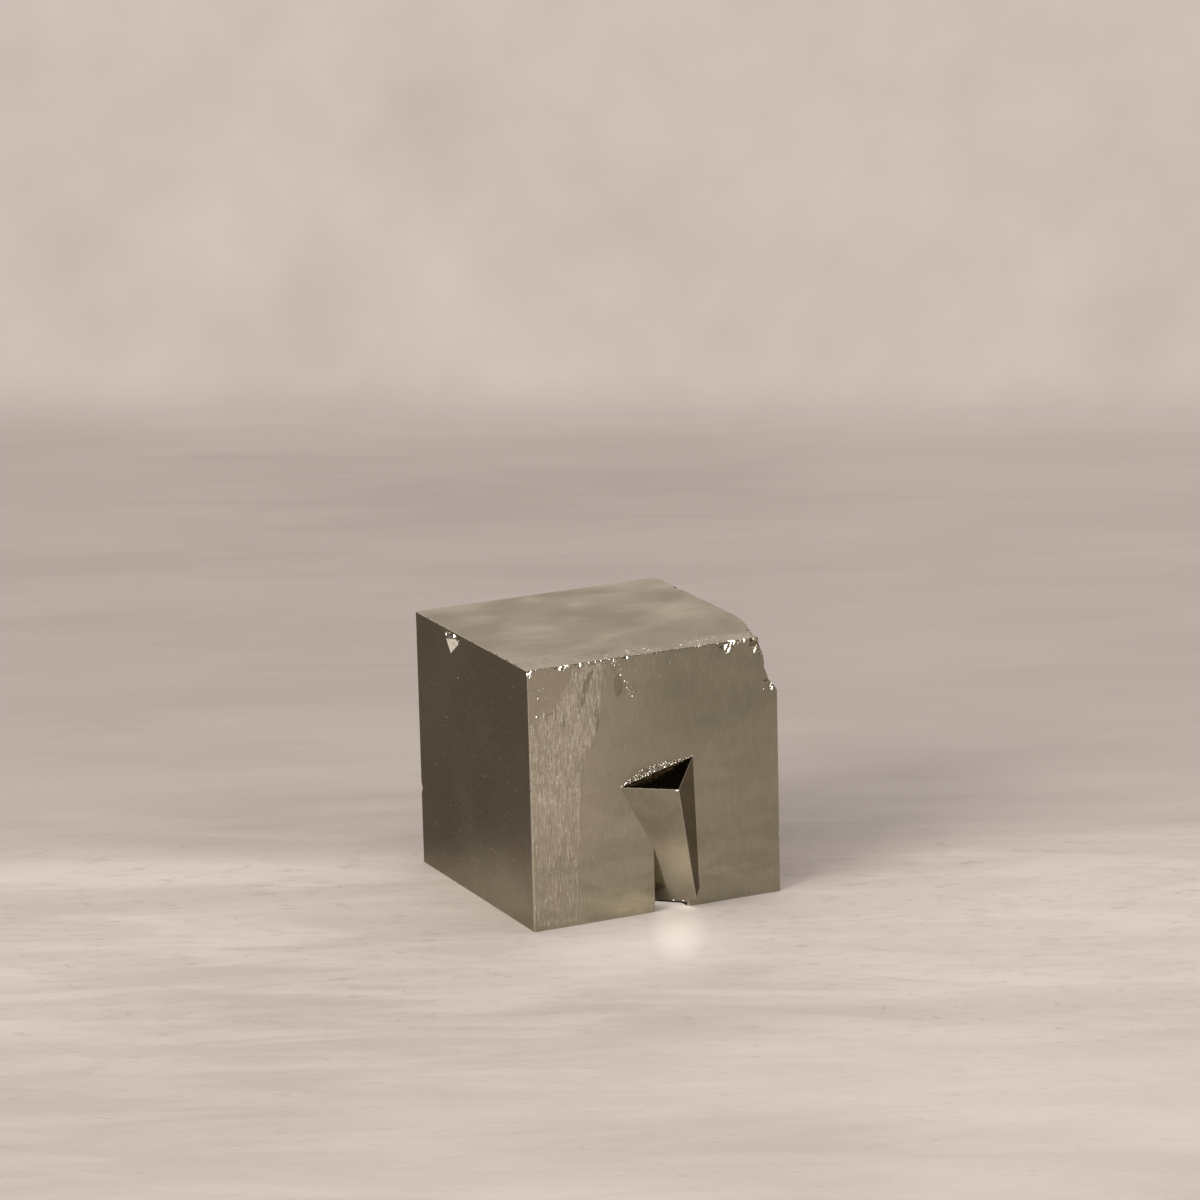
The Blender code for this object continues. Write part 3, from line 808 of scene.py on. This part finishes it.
tone = n.mix(n.steps(broad_here, 0.33, 0.67), (0.535, 0.472, 0.432, 1), (0.640, 0.572, 0.527, 1))
# painted light: lighter to the right, across where the crystal's shadow falls
tone = n.mix(n.math("MULTIPLY", n.steps(along_x, 15.0, 60.0), 0.12), tone, (0.95, 0.87, 0.81, 1))
tone = n.mix(n.math("MULTIPLY", n.steps(streak, 0.40, 0.64), n.math("MULTIPLY_ADD", near, 0.30, 0.10)), tone, (0.790, 0.715, 0.665, 1))
tone = n.mix(n.math("MULTIPLY", n.steps(fine, 0.5, 0.75), n.math("MULTIPLY", near, 0.34)), tone, (0.42, 0.365, 0.33, 1))
tone = n.mix(n.math("MULTIPLY", pits, n.math("MULTIPLY", near, 0.42)), tone, (0.40, 0.35, 0.32, 1))
# painted shade: it grows darker in two steps towards the wall
tone = n.mix(n.steps(n.math("MULTIPLY_ADD", broad, 14.0, along_y), 14.0, 30.0, 0.0, 0.17), tone, (0.0, 0.0, 0.0, 1))
tone = n.mix(n.steps(n.math("MULTIPLY_ADD", broad, 30.0, along_y), 80.0, 130.0, 0.0, 0.08), tone, (0.0, 0.0, 0.0, 1))
# the light that the second crystal's face throws on the table in front of it
apart = n.add("ShaderNodeSeparateXYZ")
n.put(n.vector("SCALE", ground, scale=1000.0), apart.inputs[0])
px, py = apart.outputs[0], apart.outputs[1]


def spot(cx, cy, wide, deep, low=1.0, high=0.0):
    u = n.math("DIVIDE", n.vector("DOT_PRODUCT", n.vector("SUBTRACT", n.vector("SCALE", ground, scale=1000.0), (cx, cy, 0)), (0.902, -0.432, 0)), wide)
    v = n.math("DIVIDE", n.vector("DOT_PRODUCT", n.vector("SUBTRACT", n.vector("SCALE", ground, scale=1000.0), (cx, cy, 0)), (0.432, 0.902, 0)), deep)
    far = n.math("SQRT", n.math("ADD", n.math("MULTIPLY", u, u), n.math("MULTIPLY", v, v)))
    return n.steps(far, low, high)


lit = n.math("MAXIMUM", spot(-2.8, -32.0, 7.5, 19.0), n.math("MULTIPLY", spot(-8, -33, 24, 22), 0.42))
glow = n.mix(n.math("MULTIPLY", lit, 0.95), tone, (1.0, 0.93, 0.86, 1))
# painted shadow: the table in the gap under the raised second crystal is dark, starting a little behind the line of its
# lower end
path = n.add("ShaderNodeLightPath")
past = n.math("ADD", n.math("MULTIPLY", px, 0.9026), py)
glow = n.mix(n.math("MULTIPLY", spot(1.9, -16.0, 7.0, 6.0, 1.0, 0.8), n.steps(past, -13.9, -13.4)), glow, (0.04, 0.035, 0.028, 1))
# light thrown back and forth between the second crystal and the table reaches under it
under = n.math("MULTIPLY", n.steps(past, -13.4, -13.9), n.math("MULTIPLY", n.steps(px, -1.2, -0.6), n.steps(px, 6.0, 4.6)))
under = n.math("MULTIPLY", n.math("MULTIPLY", under, n.steps(py, -24.0, -20.4)), n.steps(past, -19.0, -14.0, 0.10, 0.46))
n.put((1.0, 0.89, 0.79, 1), n.shader.inputs["Emission Color"])
n.put(n.math("MULTIPLY", under, n.math("SUBTRACT", 1.0, path.outputs["Is Glossy Ray"])), n.shader.inputs["Emission Strength"])
# painted reflection: what the crystal faces see of the table, with painted shade behind to the left, and falling away
# to the right
behind = n.steps(n.math("ADD", py, n.math("MULTIPLY", px, -0.6)), 18.0, 48.0)
away = n.steps(n.math("ADD", px, n.math("MULTIPLY", py, -0.12)), 8.0, 52.0)
seen = n.mix(n.math("MULTIPLY_ADD", away, 0.25, 0.13), tone, (0.06, 0.05, 0.04, 1))
# painted shade: a little darker in front to the right
seen = n.mix(n.math("MULTIPLY", spot(18, -42, 48, 36, 1.0, 0.3), 0.12), seen, (0.06, 0.05, 0.04, 1))
# painted light: the lit patch in front of the second crystal, as the faces see it
seen = n.mix(n.math("MULTIPLY", spot(-2.4, -25.5, 8, 7.5), 0.80), seen, (1.0, 0.9, 0.8, 1))
# painted shade: the table in the notch beside the second crystal, as the faces see it
notch = n.math("MULTIPLY", n.math("MULTIPLY", n.steps(px, -1.2, -0.8), n.steps(px, 4.0, 1.0)), n.steps(py, -21.2, -20.2))
seen = n.mix(n.math("MULTIPLY", notch, 0.04), seen, (0.06, 0.045, 0.03, 1))
seen = n.mix(n.math("MULTIPLY", behind, 0.66), seen, (0.04, 0.03, 0.02, 1))
n.put(n.mix(path.outputs["Is Glossy Ray"], glow, seen), n.shader.inputs["Base Color"])
n.shader.inputs["Roughness"].default_value = 0.85
n.shader.inputs["Specular IOR Level"].default_value = 0.12
rise = n.add("ShaderNodeBump")
rise.inputs["Strength"].default_value = 0.25
rise.inputs["Distance"].default_value = MM
n.put(n.math("MULTIPLY", n.math("SUBTRACT", fine, pits), 0.25), rise.inputs["Height"])
n.put(rise.outputs[0], n.shader.inputs["Normal"])
# the far side of the table ends softly against the wall
edge = n.steps(n.vector("DOT_PRODUCT", ground, (524.3, 851.5, 0.0)), 282.0, 372.0)
rim = n.steps(n.vector("LENGTH", ground), 0.75, 1.15)
clear = n.add("ShaderNodeBsdfTransparent")
blend = n.add("ShaderNodeMixShader")
n.put(n.math("MAXIMUM", edge, rim), blend.inputs[0])
n.tree.links.new(n.shader.outputs[0], blend.inputs[1])
n.tree.links.new(clear.outputs[0], blend.inputs[2])
n.tree.links.new(blend.outputs[0], n.tree.nodes["Material Output"].inputs["Surface"])
floor.data.materials.append(n.material)
floor.location.z = -0.00003


def card(name, size, place, facing, colour, strength):
    """A light card that the camera doesn't see."""
    data = bpy.data.lights.new(name, "AREA")
    data.shape = "RECTANGLE"
    data.size, data.size_y = size
    data.energy = strength
    data.color = colour
    obj = bpy.data.objects.new(name, data)
    bpy.context.scene.collection.objects.link(obj)
    obj.location = place
    obj.rotation_mode = "QUATERNION"
    obj.rotation_quaternion = (Vector(facing) - Vector(place)).to_track_quat("-Z", "Y")
    obj.visible_camera = False
    return obj


card("key_window", (1.30, 1.05), (-2.04, -0.72, 1.03), (0, 0, 0.02), (1.0, 0.95, 0.90), 38.0)

world = bpy.data.worlds.new("studio")
bpy.context.scene.world = world
world.use_nodes = True
tree = world.node_tree
tree.nodes.clear()


def wnode(kind, **settings):
    node = tree.nodes.new(kind)
    for key, value in settings.items():
        setattr(node, key, value)
    return node


output = wnode("ShaderNodeOutputWorld")
path = wnode("ShaderNodeLightPath")
sky = wnode("ShaderNodeBackground")
mottle = wnode("ShaderNodeTexNoise")
mottle.inputs["Scale"].default_value = 42.0
mottle.inputs["Detail"].default_value = 3.0
mottle.inputs["Roughness"].default_value = 0.5
paint = wnode("ShaderNodeMix", data_type="RGBA")
tree.links.new(mottle.outputs["Fac"], paint.inputs["Factor"])
paint.inputs[6].default_value = (0.525, 0.437, 0.387, 1)
paint.inputs[7].default_value = (0.690, 0.594, 0.536, 1)
tree.links.new(paint.outputs[2], sky.inputs[0])
sky.inputs[1].default_value = 1.0
fill = wnode("ShaderNodeBackground")
fill.inputs[0].default_value = (1.0, 0.95, 0.92, 1)
fill.inputs[1].default_value = 0.80
shine = wnode("ShaderNodeBackground")
coords = wnode("ShaderNodeTexCoord")
tree.links.new(coords.outputs["Generated"], mottle.inputs["Vector"])
apart = wnode("ShaderNodeSeparateXYZ")
tree.links.new(coords.outputs["Generated"], apart.inputs[0])
ramp = wnode("ShaderNodeMapRange", interpolation_type="SMOOTHSTEP")
tree.links.new(apart.outputs["Z"], ramp.inputs[0])
for value, socket in zip((0.26, 0.50, 0.0, 1.0), ramp.inputs[1:5]):
    socket.default_value = value
front = wnode("ShaderNodeMapRange", interpolation_type="SMOOTHSTEP")
tree.links.new(apart.outputs["Y"], front.inputs[0])
for value, socket in zip((0.10, -0.25, 0.0, 1.0), front.inputs[1:5]):
    socket.default_value = value
both = wnode("ShaderNodeMath", operation="MULTIPLY")
tree.links.new(ramp.outputs[0], both.inputs[0])
tree.links.new(front.outputs[0], both.inputs[1])
over = wnode("ShaderNodeMapRange", interpolation_type="SMOOTHSTEP")
tree.links.new(apart.outputs["Z"], over.inputs[0])
for value, socket in zip((0.50, 0.78, 0.0, 0.93), over.inputs[1:5]):
    socket.default_value = value
dark = wnode("ShaderNodeMath", operation="MAXIMUM")
tree.links.new(both.outputs[0], dark.inputs[0])
tree.links.new(over.outputs[0], dark.inputs[1])
tint = wnode("ShaderNodeMix", data_type="RGBA")
tree.links.new(dark.outputs[0], tint.inputs["Factor"])
tint.inputs[6].default_value = (0.66, 0.57, 0.51, 1)
tint.inputs[7].default_value = (0.002, 0.002, 0.002, 1)
tree.links.new(tint.outputs[2], shine.inputs[0])
pick = wnode("ShaderNodeMixShader")
tree.links.new(path.outputs["Is Diffuse Ray"], pick.inputs[0])
tree.links.new(shine.outputs[0], pick.inputs[1])
tree.links.new(fill.outputs[0], pick.inputs[2])
last = wnode("ShaderNodeMixShader")
tree.links.new(path.outputs["Is Camera Ray"], last.inputs[0])
tree.links.new(pick.outputs[0], last.inputs[1])
tree.links.new(sky.outputs[0], last.inputs[2])
tree.links.new(last.outputs[0], output.inputs[0])

camera_data = bpy.data.cameras.new("camera")
camera_data.sensor_width = 36.0
camera_data.lens = 158.506
camera_data.clip_start, camera_data.clip_end = 0.01, 8.0
camera = bpy.data.objects.new("camera", camera_data)
bpy.context.scene.collection.objects.link(camera)
a, e, roll = math.radians(-25.242204), math.radians(14.386906), math.radians(-1.390452)
back = Vector((math.sin(a) * math.cos(e), -math.cos(a) * math.cos(e), math.sin(e)))
right = Vector((math.cos(a), math.sin(a), 0.0))
up = back.cross(right)
right, up = right * math.cos(roll) + up * math.sin(roll), up * math.cos(roll) - right * math.sin(roll)
turn = Matrix((right, up, back)).transposed().to_4x4()
camera.matrix_world = Matrix.Translation(Vector((-8.1971, -17.4454, 6.0322)) * 40 * MM) @ turn
bpy.context.scene.camera = camera
bpy.context.scene.view_settings.view_transform = "Standard"
